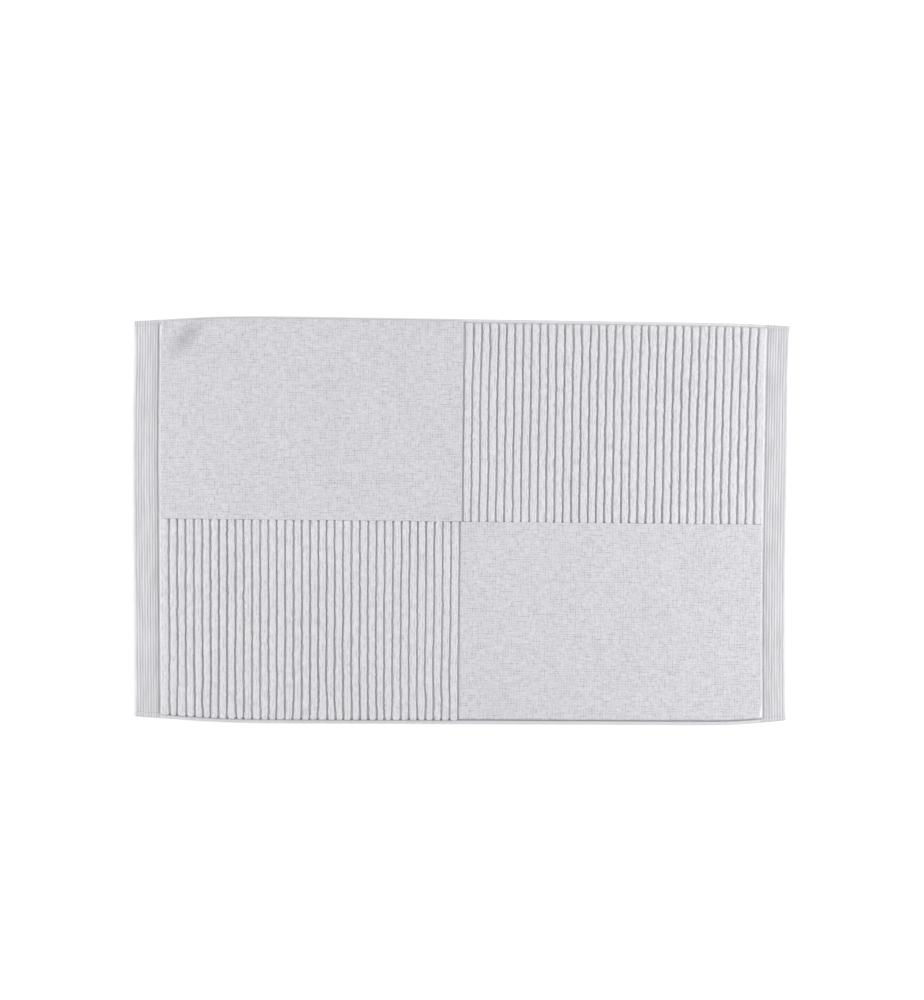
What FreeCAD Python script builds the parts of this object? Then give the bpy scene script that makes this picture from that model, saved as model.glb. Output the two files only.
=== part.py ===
"""Bath mat, 800 x 500 mm, as a parametric FreeCAD document.

The mat is one woven cotton web, sewn along its four edges. A ground cloth carries terry pile on both
faces. On the upper face the pile stands in four blocks, checkerboard fashion: two smooth and two ribbed.
The ribs run across the mat, along Y. Flat corded bands are woven at the two short ends and folded
double. Narrow folded hems close the two long sides.

Frame: millimetres, +Z up, X along the mat, origin on the floor under the middle of the mat.
The sheet "sizes" holds every driving dimension.
"""
import FreeCAD, Part
import math
import os

import Sketcher
from FreeCAD import Placement, Rotation, Vector

SIZES = (
    ("mat_length", 800, "outer fold of one end border to the other"),
    ("mat_width", 500, "outer fold of one side hem to the other"),
    ("left_border_width", 32, "flat band at the left end, fold to pile"),
    ("right_border_width", 28.5, "flat band at the right end, fold to pile"),
    ("hem_width", 6.2, "side hem, fold to pile"),
    ("cloth_thickness", 1.0, "one layer of ground cloth, band or hem"),
    ("pile_height", 4.2, "face pile above the ground cloth"),
    ("pile_crown", 2.0, "rounding of the pile's upper edges"),
    ("pile_gap", 0.2, "clearance between neighbouring pile blocks"),
    ("centre_lap", 0.75, "reach of each smooth block past the centre line"),
    ("rib_count", 36, "ribs in one ribbed block"),
    ("groove_width", 2.0, "bare ground between two ribs"),
    ("cord_pitch", 3.3, "spacing of the cord lines in a border band"),
    ("cord_line_width", 1.2, "width of the dip between two cords"),
    ("cord_line_depth", 0.4, "depth of the dip between two cords"),
    ("seam_margin", 1.0, "seam to the inner edge of its band or hem"),
    ("seam_width", 0.9, "channel that the stitches pull into the cloth"),
    ("seam_depth", 0.45, "depth of that channel"),
    ("thread_width", 0.6, "one stitch, across the seam"),
    ("thread_thickness", 0.4, "one stitch, through the cloth"),
    ("stitch_length", 3.2, "one stitch, along the seam"),
    ("stitch_pitch", 4.0, "start of one stitch to the start of the next"),
)

# Dependent sizes, as expressions on the sheet.
LEFT_EDGE = "(sizes.left_border_width - sizes.mat_length / 2)"
RIGHT_EDGE = "(sizes.mat_length / 2 - sizes.right_border_width)"
FIELD_LENGTH = f"({RIGHT_EDGE} - {LEFT_EDGE})"
FIELD_WIDTH = "(sizes.mat_width - 2 * sizes.hem_width)"
FOLD_THICKNESS = "(3 * sizes.cloth_thickness)"
GROUND_BOTTOM = "(2 * sizes.cloth_thickness)"
BLOCK_WIDTH = f"(({FIELD_WIDTH} - sizes.pile_gap) / 2)"
SMOOTH_LENGTH = f"({FIELD_LENGTH} / 2 + sizes.centre_lap)"
RIB_PITCH = f"(({FIELD_LENGTH} / 2 - sizes.centre_lap) / sizes.rib_count)"
RIB_WIDTH = f"({RIB_PITCH} - sizes.groove_width)"

PARTS_FOLDER = "parts"
HALF_TURN = 180
QUARTER_TURN = 90


# ---------------------------------------------------------------- document and sheet


def make_sheet(doc):
    """The spreadsheet of driving dimensions: name, value and meaning, one row each."""
    sheet = doc.addObject("Spreadsheet::Sheet", "sizes")
    for row, (name, value, meaning) in enumerate(SIZES, start=1):
        sheet.set(f"A{row}", name)
        sheet.set(f"B{row}", str(value))
        sheet.setAlias(f"B{row}", name)
        sheet.set(f"C{row}", meaning)
    doc.recompute()
    return sheet


def bind(target, **expressions):
    """Binds properties of an object to expressions; a double underscore stands for a dot."""
    for name, expression in expressions.items():
        target.setExpression(name.replace("__", "."), str(expression))


def place(target, across="0", along="0", up="0", turn=0):
    """Turns a sub-part about Z by `turn` degrees and binds its place in the mat."""
    target.Placement = Placement(Vector(), Rotation(Vector(0, 0, 1), turn))
    bind(target, Placement__Base__x=across, Placement__Base__y=along, Placement__Base__z=up)


# ---------------------------------------------------------------- sketch helpers
# A sketch is drawn roughly to shape; its rules and its bound dimensions then set its true size.


def new_body(doc, name):
    body = doc.addObject("PartDesign::Body", name)
    body.Label = name
    return body


def origin_feature(body, role):
    return next(item for item in body.Origin.OriginFeatures if item.Role == role)


def new_sketch(body, name, role):
    """A sketch on one of the body's own origin planes."""
    sketch = body.newObject("Sketcher::SketchObject", name)
    sketch.AttachmentSupport = [(origin_feature(body, role), "")]
    sketch.MapMode = "FlatFace"
    return sketch


def line(start, end):
    return Part.LineSegment(Vector(*start, 0), Vector(*end, 0))


def arc(centre, radius, start_degrees, end_degrees):
    circle = Part.Circle(Vector(*centre, 0), Vector(0, 0, 1), radius)
    return Part.ArcOfCircle(circle, math.radians(start_degrees), math.radians(end_degrees))


def constrain(sketch, *rules):
    sketch.addConstraint([Sketcher.Constraint(*rule) for rule in rules])


def dimension(sketch, name, expression, *rule):
    """Adds one named driving dimension and binds it to an expression."""
    index = sketch.addConstraint(Sketcher.Constraint(*rule))
    sketch.renameConstraint(index, name)
    sketch.setExpression(f"Constraints.{name}", expression)


def draw_rectangle(sketch, width, height):
    """A rectangle with one corner on the sketch's origin."""
    sketch.addGeometry(
        [line((0, 0), (9, 0)), line((9, 0), (9, 5)), line((9, 5), (0, 5)), line((0, 5), (0, 0))], False
    )
    constrain(
        sketch,
        ("Coincident", 0, 1, -1, 1),
        ("Coincident", 0, 2, 1, 1),
        ("Coincident", 1, 2, 2, 1),
        ("Coincident", 2, 2, 3, 1),
        ("Coincident", 3, 2, 0, 1),
        ("Horizontal", 0),
        ("Vertical", 1),
        ("Horizontal", 2),
        ("Vertical", 3),
    )
    dimension(sketch, "width", width, "DistanceX", 0, 1, 0, 2, 9)
    dimension(sketch, "height", height, "DistanceY", 1, 1, 1, 2, 5)


def draw_crowned_strip(sketch, width, height, crown):
    """The section of a strip of pile: flat foot on the origin, upright sides and rounded shoulders."""
    sketch.addGeometry(
        [
            line((0, 0), (9, 0)),
            line((9, 0), (9, 3)),
            arc((7, 3), 2, 0, 90),
            line((7, 5), (2, 5)),
            arc((2, 3), 2, 90, 180),
            line((0, 3), (0, 0)),
        ],
        False,
    )
    constrain(
        sketch,
        ("Coincident", 0, 1, -1, 1),
        ("Coincident", 0, 2, 1, 1),
        ("Tangent", 1, 2, 2, 1),
        ("Tangent", 2, 2, 3, 1),
        ("Tangent", 3, 2, 4, 1),
        ("Tangent", 4, 2, 5, 1),
        ("Coincident", 5, 2, 0, 1),
        ("Horizontal", 0),
        ("Vertical", 1),
        ("Horizontal", 3),
        ("Vertical", 5),
        ("Equal", 2, 4),
    )
    dimension(sketch, "crown", crown, "Radius", 2, 2)
    dimension(sketch, "width", width, "DistanceX", 0, 1, 0, 2, 9)
    dimension(sketch, "height", height, "DistanceY", 0, 1, 3, 1, 5)


def draw_folded_cloth(sketch, width):
    """The section of a cloth folded back under itself, its round fold on the sketch's vertical axis.

    Between the two legs is room for one more layer, so the fold is three layers thick.
    """
    sketch.addGeometry(
        [
            line((1.5, 0), (9, 0)),
            line((9, 0), (9, 1)),
            line((9, 1), (1.5, 1)),
            arc((1.5, 1.5), 0.5, 90, 270),
            line((1.5, 2), (9, 2)),
            line((9, 2), (9, 3)),
            line((9, 3), (1.5, 3)),
            arc((1.5, 1.5), 1.5, 90, 270),
        ],
        False,
    )
    constrain(
        sketch,
        ("Coincident", 0, 2, 1, 1),
        ("Coincident", 1, 2, 2, 1),
        ("Tangent", 2, 2, 3, 2),
        ("Tangent", 3, 1, 4, 1),
        ("Coincident", 4, 2, 5, 1),
        ("Coincident", 5, 2, 6, 1),
        ("Tangent", 6, 2, 7, 1),
        ("Tangent", 7, 2, 0, 1),
        ("Horizontal", 0),
        ("Vertical", 1),
        ("Horizontal", 2),
        ("Horizontal", 4),
        ("Vertical", 5),
        ("Horizontal", 6),
        ("Coincident", 3, 3, 7, 3),
        ("PointOnObject", 0, 1, -1),
        ("Vertical", 1, 1, 5, 1),
    )
    dimension(sketch, "nose", f"{FOLD_THICKNESS} / 2", "DistanceX", -1, 1, 0, 1, 1.5)
    dimension(sketch, "width", width, "DistanceX", -1, 1, 0, 2, 9)
    dimension(sketch, "layer", "sizes.cloth_thickness", "DistanceY", 1, 1, 1, 2, 1)
    dimension(sketch, "thickness", FOLD_THICKNESS, "DistanceY", 0, 1, 6, 2, 3)


def draw_dip(sketch, width, depth):
    """A shallow V that hangs from the sketch's horizontal axis, its middle on the origin."""
    sketch.addGeometry([line((-1, 0), (0, -1)), line((0, -1), (1, 0)), line((1, 0), (-1, 0))], False)
    constrain(
        sketch,
        ("Coincident", 0, 2, 1, 1),
        ("Coincident", 1, 2, 2, 1),
        ("Coincident", 2, 2, 0, 1),
        ("PointOnObject", 0, 1, -1),
        ("PointOnObject", 0, 2, -2),
        ("Symmetric", 0, 1, 1, 2, -1, 1),
    )
    dimension(sketch, "width", width, "DistanceX", 0, 1, 1, 2, 2)
    dimension(sketch, "depth", depth, "DistanceY", 1, 1, 1, 2, 1)


def draw_stitch(sketch):
    """The plan of one stitch: a bar with round ends, its corner on the sketch's origin."""
    sketch.addGeometry(
        [
            line((0.6, 0.3), (0.6, 2.9)),
            arc((0.3, 2.9), 0.3, 0, 180),
            line((0, 2.9), (0, 0.3)),
            arc((0.3, 0.3), 0.3, 180, 360),
        ],
        False,
    )
    constrain(
        sketch,
        ("Tangent", 0, 2, 1, 1),
        ("Tangent", 1, 2, 2, 1),
        ("Tangent", 2, 2, 3, 1),
        ("Tangent", 3, 2, 0, 1),
        ("Vertical", 0),
        ("Vertical", 2),
        ("PointOnObject", 2, 1, -2),
    )
    straight = "sizes.stitch_length - sizes.thread_width"
    dimension(sketch, "radius", "sizes.thread_width / 2", "Radius", 1, 0.3)
    dimension(sketch, "foot", "sizes.thread_width / 2", "DistanceY", -1, 1, 0, 1, 0.3)
    dimension(sketch, "straight", straight, "DistanceY", 0, 1, 0, 2, 2.6)


# ---------------------------------------------------------------- features


def pad(body, sketch, length, both_ways=False, backwards=False):
    feature = body.newObject("PartDesign::Pad", f"{sketch.Name}_pad")
    feature.Profile = sketch
    feature.Reversed = backwards
    if both_ways:
        feature.SideType = "Symmetric"
    bind(feature, Length=length)
    body.Tip = feature
    return feature


def channel(body, sketch, length):
    """Cuts a channel of the sketch's section, both ways from the sketch."""
    feature = body.newObject("PartDesign::Pocket", f"{sketch.Name}_cut")
    feature.Profile = sketch
    feature.SideType = "Symmetric"
    bind(feature, Length=length)
    body.Tip = feature
    return feature


def repeat(doc, body, feature, axis, pitch, count):
    """Repeats a feature along one of the body's axes, at a fixed pitch."""
    pattern = body.newObject("PartDesign::LinearPattern", f"{feature.Name}_row")
    pattern.Originals = [feature]
    pattern.Direction = (origin_feature(body, axis), [""])
    bind(pattern, Occurrences=count, Length=f"{pitch} * ({count} - 1)")
    body.Tip = pattern
    doc.recompute()
    return pattern


# ---------------------------------------------------------------- sub-parts


def make_slab(doc, name, length, width, height, bottom):
    """A flat rectangular layer under the pile field, with its lower left corner at the field's corner."""
    slab = doc.addObject("Part::Box", name)
    slab.Label = name
    bind(slab, Length=length, Width=width, Height=height)
    place(slab, LEFT_EDGE, f"-{FIELD_WIDTH} / 2", bottom)
    return slab


def make_smooth_block(doc, name, corner, along, turn):
    """A block of even loop pile with rounded upper edges."""
    body = new_body(doc, name)
    plan = new_sketch(body, f"{name}_plan", "XY_Plane")
    draw_rectangle(plan, SMOOTH_LENGTH, BLOCK_WIDTH)
    block = pad(body, plan, "sizes.pile_height")
    doc.recompute()
    top = max(range(len(block.Shape.Faces)), key=lambda i: block.Shape.Faces[i].CenterOfGravity.z)
    crown = body.newObject("PartDesign::Fillet", f"{name}_crown")
    crown.Base = (block, [f"Face{top + 1}"])
    bind(crown, Radius="sizes.pile_crown")
    body.Tip = crown
    place(body, corner, along, FOLD_THICKNESS, turn)
    return body


def make_rib_block(doc, name, corner, along, turn):
    """A block of pile ribs: the first stands against the border, a groove follows each."""
    body = new_body(doc, name)
    section = new_sketch(body, f"{name}_section", "XZ_Plane")
    draw_crowned_strip(section, RIB_WIDTH, "sizes.pile_height", "sizes.pile_crown")
    rib = pad(body, section, BLOCK_WIDTH, backwards=True)
    repeat(doc, body, rib, "X_Axis", RIB_PITCH, "sizes.rib_count")
    place(body, corner, along, FOLD_THICKNESS, turn)
    return body


def cut_seam_channels(body, name, width, run):
    """The two channels that a row of stitches pulls into the folded cloth, above and below."""
    start = f"{width} - sizes.seam_margin - sizes.seam_width / 2"
    for side, height in (("upper", f"{FOLD_THICKNESS} - sizes.seam_depth"), ("lower", "0")):
        section = new_sketch(body, f"{name}_{side}_seam", "XZ_Plane")
        draw_rectangle(section, "sizes.seam_width", "sizes.seam_depth")
        bind(section, AttachmentOffset__Base__x=start, AttachmentOffset__Base__y=height)
        channel(body, section, run)


def make_folded_edge(doc, name, width, run):
    """A cloth edge folded back under itself, with the channels of its seam."""
    body = new_body(doc, name)
    section = new_sketch(body, f"{name}_section", "XZ_Plane")
    draw_folded_cloth(section, width)
    pad(body, section, run, both_ways=True)
    cut_seam_channels(body, name, width, run)
    return body


def add_cord_lines(doc, body, name, width, run):
    """The dips between the cords of a border band, from its fold to its seam."""
    clear = "sizes.seam_margin + (sizes.seam_width + sizes.cord_line_width) / 2"
    count = f"floor(({width} - {clear}) / sizes.cord_pitch)"
    section = new_sketch(body, f"{name}_cord_line", "XZ_Plane")
    draw_dip(section, "sizes.cord_line_width", "sizes.cord_line_depth")
    bind(section, AttachmentOffset__Base__x="sizes.cord_pitch", AttachmentOffset__Base__y=FOLD_THICKNESS)
    dip = channel(body, section, run)
    repeat(doc, body, dip, "X_Axis", "sizes.cord_pitch", count)


def make_turn_in(doc, name, width, run):
    """The raw edge of the cloth, turned in as a middle layer between the two legs of a fold."""
    body = new_body(doc, name)
    plan = new_sketch(body, f"{name}_plan", "XY_Plane")
    draw_rectangle(plan, f"{width} - {FOLD_THICKNESS} / 2", run)
    bind(
        plan,
        AttachmentOffset__Base__x=f"{FOLD_THICKNESS} / 2",
        AttachmentOffset__Base__y=f"-({run}) / 2",
        AttachmentOffset__Base__z="sizes.cloth_thickness",
    )
    pad(body, plan, "sizes.cloth_thickness")
    return body


def make_thread(doc, name, width, run, bottom):
    """One row of stitches along a seam, all lying in the seam's channel."""
    count = f"floor(({run} - sizes.stitch_length) / sizes.stitch_pitch + 1)"
    body = new_body(doc, name)
    plan = new_sketch(body, f"{name}_plan", "XY_Plane")
    draw_stitch(plan)
    bind(
        plan,
        AttachmentOffset__Base__x=f"{width} - sizes.seam_margin - sizes.thread_width / 2",
        AttachmentOffset__Base__y=f"-(({count} - 1) * sizes.stitch_pitch + sizes.stitch_length) / 2",
        AttachmentOffset__Base__z=bottom,
    )
    stitch = pad(body, plan, "sizes.thread_thickness")
    repeat(doc, body, stitch, "Y_Axis", "sizes.stitch_pitch", count)
    return body


def make_edge(doc, side, kind, width, run, across, along, turn):
    """One sewn edge of the mat: folded cloth, turned-in layer, needle thread and bobbin thread."""
    folded = make_folded_edge(doc, f"{side}_{kind}", width, run)
    if kind == "border_band":
        add_cord_lines(doc, folded, f"{side}_{kind}", width, run)
    needle_bottom = f"{FOLD_THICKNESS} - sizes.seam_depth"
    bobbin_bottom = "sizes.seam_depth - sizes.thread_thickness"
    pieces = [
        folded,
        make_turn_in(doc, f"{side}_{kind}_turn_in", width, run),
        make_thread(doc, f"{side}_{kind}_needle_thread", width, run, needle_bottom),
        make_thread(doc, f"{side}_{kind}_bobbin_thread", width, run, bobbin_bottom),
    ]
    for piece in pieces:
        place(piece, across, along, "0", turn)
    return pieces


# ---------------------------------------------------------------- assembly


def make_field(doc):
    """The pile field: ground cloth, reverse pile, and four blocks of face pile."""
    half_gap = "sizes.pile_gap / 2"
    half_width = f"{FIELD_WIDTH} / 2"
    return [
        make_slab(
            doc, "ground_cloth", FIELD_LENGTH, FIELD_WIDTH, "sizes.cloth_thickness", GROUND_BOTTOM
        ),
        make_slab(doc, "reverse_pile", FIELD_LENGTH, FIELD_WIDTH, GROUND_BOTTOM, "0"),
        make_smooth_block(doc, "smooth_pile_back_left", LEFT_EDGE, half_gap, 0),
        make_smooth_block(doc, "smooth_pile_front_right", RIGHT_EDGE, f"-{half_gap}", HALF_TURN),
        make_rib_block(doc, "rib_pile_front_left", LEFT_EDGE, f"-{half_width}", 0),
        make_rib_block(doc, "rib_pile_back_right", RIGHT_EDGE, half_width, HALF_TURN),
    ]


def make_edges(doc):
    """End borders between the side hems, and side hems along the mat's whole length."""
    end_x = "sizes.mat_length / 2"
    side_y = "sizes.mat_width / 2"
    left, right, hem = "sizes.left_border_width", "sizes.right_border_width", "sizes.hem_width"
    full_run = "sizes.mat_length"
    return [
        *make_edge(doc, "left", "border_band", left, FIELD_WIDTH, f"-{end_x}", "0", 0),
        *make_edge(doc, "right", "border_band", right, FIELD_WIDTH, end_x, "0", HALF_TURN),
        *make_edge(doc, "front", "side_hem", hem, full_run, "0", f"-{side_y}", QUARTER_TURN),
        *make_edge(doc, "back", "side_hem", hem, full_run, "0", side_y, -QUARTER_TURN),
    ]


def check(doc, pieces):
    """Stops if any object failed or any sub-part's shape is missing or not valid."""
    for item in doc.Objects:
        if "Invalid" in item.State or "Error" in item.State:
            raise RuntimeError(f"{item.Label} failed: {item.State}")
        if item.TypeId == "Sketcher::SketchObject" and not item.FullyConstrained:
            raise RuntimeError(f"{item.Label} is not fully constrained")
    for piece in pieces:
        if piece.Shape.isNull() or not piece.Shape.isValid() or not piece.Shape.Solids:
            raise RuntimeError(f"{piece.Label} has no valid solid")


def export(pieces):
    os.makedirs(PARTS_FOLDER, exist_ok=True)
    for piece in pieces:
        piece.Shape.exportStep(f"{PARTS_FOLDER}/{piece.Label}.step")


def main():
    doc = FreeCAD.newDocument("bath_mat")
    make_sheet(doc)
    pieces = make_field(doc) + make_edges(doc)
    doc.recompute()
    check(doc, pieces)
    export(pieces)
    for piece in pieces:
        box = piece.Shape.BoundBox
        print(
            f"{piece.Label}: {len(piece.Shape.Solids)} solids, {piece.Shape.Volume:.0f} mm3,"
            f" x {box.XMin:.2f}..{box.XMax:.2f}, y {box.YMin:.2f}..{box.YMax:.2f},"
            f" z {box.ZMin:.2f}..{box.ZMax:.2f}"
        )


main()
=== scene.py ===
import math

import bpy
import numpy as np
from bpy.props import FloatProperty, FloatVectorProperty, IntProperty, PointerProperty
from bpy.types import Operator, Panel, PropertyGroup
from bpy.utils import register_class, unregister_class
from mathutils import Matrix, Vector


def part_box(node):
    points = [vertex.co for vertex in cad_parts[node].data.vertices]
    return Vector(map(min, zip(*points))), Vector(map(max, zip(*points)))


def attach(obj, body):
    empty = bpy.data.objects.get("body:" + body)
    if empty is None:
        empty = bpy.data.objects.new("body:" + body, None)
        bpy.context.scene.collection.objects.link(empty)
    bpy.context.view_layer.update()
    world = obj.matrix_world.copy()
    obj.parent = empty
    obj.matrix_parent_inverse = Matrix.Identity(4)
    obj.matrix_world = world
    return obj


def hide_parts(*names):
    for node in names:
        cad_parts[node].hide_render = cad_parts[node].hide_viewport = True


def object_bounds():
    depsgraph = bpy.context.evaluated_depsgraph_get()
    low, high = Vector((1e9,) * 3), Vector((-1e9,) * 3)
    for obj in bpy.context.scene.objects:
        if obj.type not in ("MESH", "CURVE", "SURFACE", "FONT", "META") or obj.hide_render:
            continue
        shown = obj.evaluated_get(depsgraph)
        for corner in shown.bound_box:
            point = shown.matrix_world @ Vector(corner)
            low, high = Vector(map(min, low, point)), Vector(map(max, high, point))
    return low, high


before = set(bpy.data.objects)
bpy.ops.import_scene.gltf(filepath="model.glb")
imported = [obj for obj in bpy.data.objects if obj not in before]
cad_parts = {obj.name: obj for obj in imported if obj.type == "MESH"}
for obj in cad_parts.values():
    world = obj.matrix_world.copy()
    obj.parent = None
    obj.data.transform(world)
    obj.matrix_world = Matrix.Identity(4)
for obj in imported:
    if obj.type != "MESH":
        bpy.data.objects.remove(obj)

bl_info = {
    "name": "Woven Bath Mat",
    "version": (1, 0, 0),
    "blender": (4, 5, 0),
    "location": "3D View > Sidebar > Bath Mat",
    "description": "Builds a terry bath mat with smooth and ribbed blocks, corded borders and sewn hems",
    "category": "Object",
}

MM = 0.001
BODY = "root"

# ------------------------------------------------------------------ the frame's sizes


def node_box(node):
    """The lowest and highest corners of a CAD node, as arrays."""
    low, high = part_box(node)
    return np.array(low), np.array(high)


CAD_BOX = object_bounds()
MAT_LOW, MAT_HIGH = (np.array(corner) for corner in CAD_BOX)
FIELD_LOW, FIELD_HIGH = node_box("ground_cloth")
SMOOTH_LOW, SMOOTH_HIGH = node_box("smooth_pile_back_left")
RIBS_LOW, RIBS_HIGH = node_box("rib_pile_front_left")
THREAD_LOW, THREAD_HIGH = node_box("left_border_band_needle_thread")
GROUND_TOP = FIELD_HIGH[2]
PILE_TOP = SMOOTH_HIGH[2]
PILE_HEIGHT = PILE_TOP - GROUND_TOP
FOLD_TOP = node_box("front_side_hem")[1][2]
CLOTH = FIELD_HIGH[2] - FIELD_LOW[2]
HALF_LENGTH = (MAT_HIGH[0] - MAT_LOW[0]) / 2
HALF_WIDTH = (MAT_HIGH[1] - MAT_LOW[1]) / 2
SEAM_INSET = FIELD_LOW[0] - (THREAD_LOW[0] + THREAD_HIGH[0]) / 2
BLOCK_LENGTH = SMOOTH_HIGH[0] - SMOOTH_LOW[0]
BLOCK_WIDTH = SMOOTH_HIGH[1] - SMOOTH_LOW[1]
FRONT_SEAM = FIELD_LOW[1] - SEAM_INSET

# ------------------------------------------------------------------ fixed sizes

# The edge of any pile is a superellipse, squarer than a circle, drawn through this many close points.
SHOULDER_POINTS = 60
SQUARENESS = 2.8

# Where two blocks of pile meet, each has a steep end of this reach and passes the middle by a little.
MEETING_REACH = 0.3 * MM
MEETING_LAP = SMOOTH_LOW[1] + 0.7 * MEETING_REACH

# Smooth pile: its shoulders by the border and by the ribs, its end by the hem, and how it spreads over it.
SMOOTH_SHOULDERS = (3.0 * MM, 2.4 * MM)
SMOOTH_END = 3.0 * MM
SMOOTH_STEP_SHARE = 1.16
OVERHANGS = {"back_left": 5.7 * MM, "front_right": 1.2 * MM}
OVERHANG_WIDTH = 9 * MM
CORNER_ROUND = 2.5 * MM
CORNER_SPREAD = (9 * MM, 12 * MM)
LINE_WIDTH = 0.6 * MM

# Ribs: left and right shoulder, end by the hem, and how their sides fray and their grooves stray. The noise
# of the turned block starts further along.
RIB_SHOULDERS = (1.7 * MM, 2.7 * MM)
RIB_END = 1.8 * MM
RIB_OVERHANG = 2.6 * MM
RIB_OVERHANG_WIDTH = 5 * MM
FRAY = 0.42 * MM
FRAY_LENGTH = 3.2 * MM
OUTER_WANDER = 0.35 * MM
HEM_UNREST_REACH = 50 * MM
TURNED_START = 40 * MM

# Up to this height above the ground cloth, the loops stand less unevenly.
FOOT_HEIGHT = 1.5 * MM

# How the mat lies: the shift of its back corners, the draw-in of its ends, the dent, and the shade painted
# into the colour over the dent and in the front seam's crease.
CORNER_REACH = (45 * MM, 110 * MM)
DRAW_IN_SOFTNESS = 6
DENT_PLACE = (-327 * MM, 222 * MM)
DENT_WIDTH = 10 * MM
DENT_LENGTH = 25 * MM
# Painted shade: the share by which the colour is darkened over the dent, and in the crease along the front
# seam.
PAINTED_DENT_SHADE = 0.2
CREASE_SHADE = 0.45
CREASE_WIDTH = 1.2 * MM
CREASE_FADE = 0.6 * MM

# Sheets: the spacing of their points, the loops of the reverse, and the folded cloth. The reverse is lifted
# a hair off the floor, and a folded cloth is made a little thin, which keeps its layers apart.
GROUND_STEP = 6 * MM
REVERSE_STEP = 3 * MM
REVERSE_LIFT = 0.05 * MM
REVERSE_LOOPS = 0.25 * MM
REVERSE_ROWS = 0.3 * MM
BEND_POINTS = 12
FOLD_STEP = 0.5 * MM
BORDER_STEP = 3 * MM
HEM_STEP = 1.6 * MM
HALF_CLOTH = 0.46 * CLOTH
BORDER_UNEVENNESS = 0.12 * MM
HEM_PUCKER = 0.16 * MM

# Seams: the groove of a seam, the holes in it, and the stitches.
SEAM_WIDTH = 1.3 * MM
HOLE_WIDTH = 0.5 * MM
HOLE_SHARE = 0.35
STITCH_RADIUS = 0.34 * MM
STITCH_RINGS = 7
STITCH_SIDES = 6
NEEDLE_LIFT = 0.15 * MM
NEEDLE_ARCH = 0.5 * MM
BOBBIN_HEIGHT = 0.38 * MM
BOBBIN_ARCH = -0.3 * MM

# The stage, in metres.
FLOOR_REACH = 30.0
LIGHT_SIZE = 1.2
LEFT_LIGHT = (-1.7, 0.1, 0.62)
RIGHT_LIGHT = (1.7, 0.1, 1.05)

# ------------------------------------------------------------------ settings


class PileSettings(PropertyGroup):
    rib_count: IntProperty(name="Ribs", description="Ribs in one ribbed block", default=36, min=2)
    groove_width: FloatProperty(
        name="Groove", description="Bare ground between two ribs", default=2.0 * MM, unit="LENGTH"
    )
    first_rib_extra: FloatVectorProperty(
        name="First Rib Extra",
        description="How much wider the rib beside the left and the right border has spread",
        size=2,
        default=(2.4 * MM, 2.4 * MM),
        unit="LENGTH",
    )
    groove_wander: FloatProperty(
        name="Groove Wander",
        description="How far a groove strays sideways",
        default=0.4 * MM,
        unit="LENGTH",
    )
    wander_length: FloatProperty(
        name="Wander Length", description="Length of one stray of a groove", default=24 * MM, unit="LENGTH"
    )
    loop_size: FloatProperty(
        name="Loop Size", description="Width of one terry loop", default=1.7 * MM, unit="LENGTH"
    )
    loop_relief: FloatProperty(
        name="Loop Relief", description="How far loops stand unevenly", default=0.2 * MM, unit="LENGTH"
    )
    row_pitch: FloatProperty(
        name="Row Pitch",
        description="Spacing of the faint rows in smooth pile",
        default=6.15 * MM,
        unit="LENGTH",
    )
    mesh_step: FloatProperty(
        name="Mesh Step", description="Spacing of the points of a rib", default=0.87 * MM, unit="LENGTH"
    )


class EdgeSettings(PropertyGroup):
    cord_pitch: FloatProperty(
        name="Cord Pitch", description="Spacing of the cords in a border", default=3.3 * MM, unit="LENGTH"
    )
    cord_relief: FloatProperty(
        name="Cord Relief", description="Depth of the lines between cords", default=0.4 * MM, unit="LENGTH"
    )
    seam_pull: FloatVectorProperty(
        name="Seam Pull",
        description="How deep the seams of the left border, the right border and the hems draw in",
        size=3,
        default=(1.05 * MM, 0.75 * MM, 1.05 * MM),
        unit="LENGTH",
    )
    stitch_pitch: FloatProperty(
        name="Stitch Pitch", description="Spacing of the stitches", default=4.0 * MM, unit="LENGTH"
    )
    stitch_length: FloatProperty(
        name="Stitch Length", description="Length of one stitch", default=3.2 * MM, unit="LENGTH"
    )


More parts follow.
